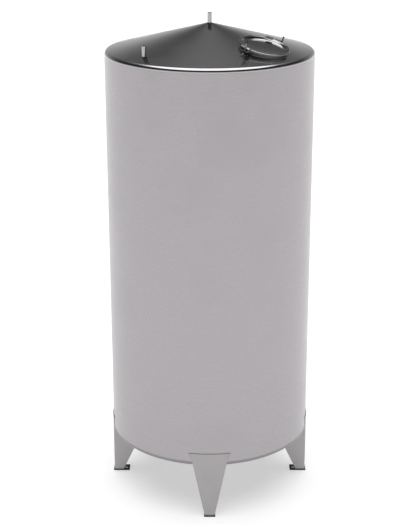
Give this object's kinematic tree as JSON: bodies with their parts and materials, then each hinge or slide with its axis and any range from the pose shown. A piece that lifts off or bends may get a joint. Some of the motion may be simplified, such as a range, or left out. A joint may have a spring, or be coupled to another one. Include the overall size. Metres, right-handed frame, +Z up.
{
  "type": "vertical storage tank",
  "caption": "Upright cylindrical stainless storage tank with cone roof and bottom, folded sheet legs, pipe stubs and a hinged roof manway.",
  "frame": {"origin": "on the tank's axis at floor level, under the feet", "axes": "+Z up along the tank's axis, -Y towards the front leg, +X towards the right leg"},
  "size_m": [1.827, 1.827, 4.3331],
  "materials": {
    "shell_steel": "fine satin stainless sheet",
    "roof_steel": "smooth stainless sheet",
    "leg_steel": "satin stainless sheet",
    "pipe_steel": "polished tube",
    "lid_steel": "pressed and polished",
    "fitting_steel": "satin",
    "fitting_dark": "dark handled steel",
    "foot_black": "black coated plate",
    "gasket_rubber": "matte"
  },
  "bodies": {
    "tank": {"shell": "shell_steel", "roof_cone": "roof_steel", "bottom_cone": "roof_steel", "leg_front": "leg_steel", "leg_right": "leg_steel", "leg_back": "leg_steel", "leg_left": "leg_steel", "foot_plate_front": "foot_black", "foot_plate_right": "foot_black", "foot_plate_back": "foot_black", "foot_plate_left": "foot_black", "vent_pipe": "pipe_steel", "roof_nozzle": "pipe_steel", "drain_nozzle": "pipe_steel", "manway_neck": "roof_steel", "manway_gasket": "gasket_rubber", "hinge_bracket": "fitting_steel", "latch_bracket": "fitting_steel"},
    "lid": {"manway_lid": "lid_steel", "lid_hinge_arm": "fitting_steel", "hinge_pin": "fitting_dark", "hinge_pin_knob": "fitting_dark", "latch_lug": "fitting_steel", "latch_screw": "fitting_steel", "latch_wing": "fitting_dark"}
  },
  "joints": [
    {"name": "lid_hinge", "type": "hinge", "parent": "tank", "child": "lid", "pos_m": [0.50933, -0.1915, 4.1499], "axis": [-0.9074, 0.3476, 0.2361], "range_deg": [0, 110]}
  ]
}
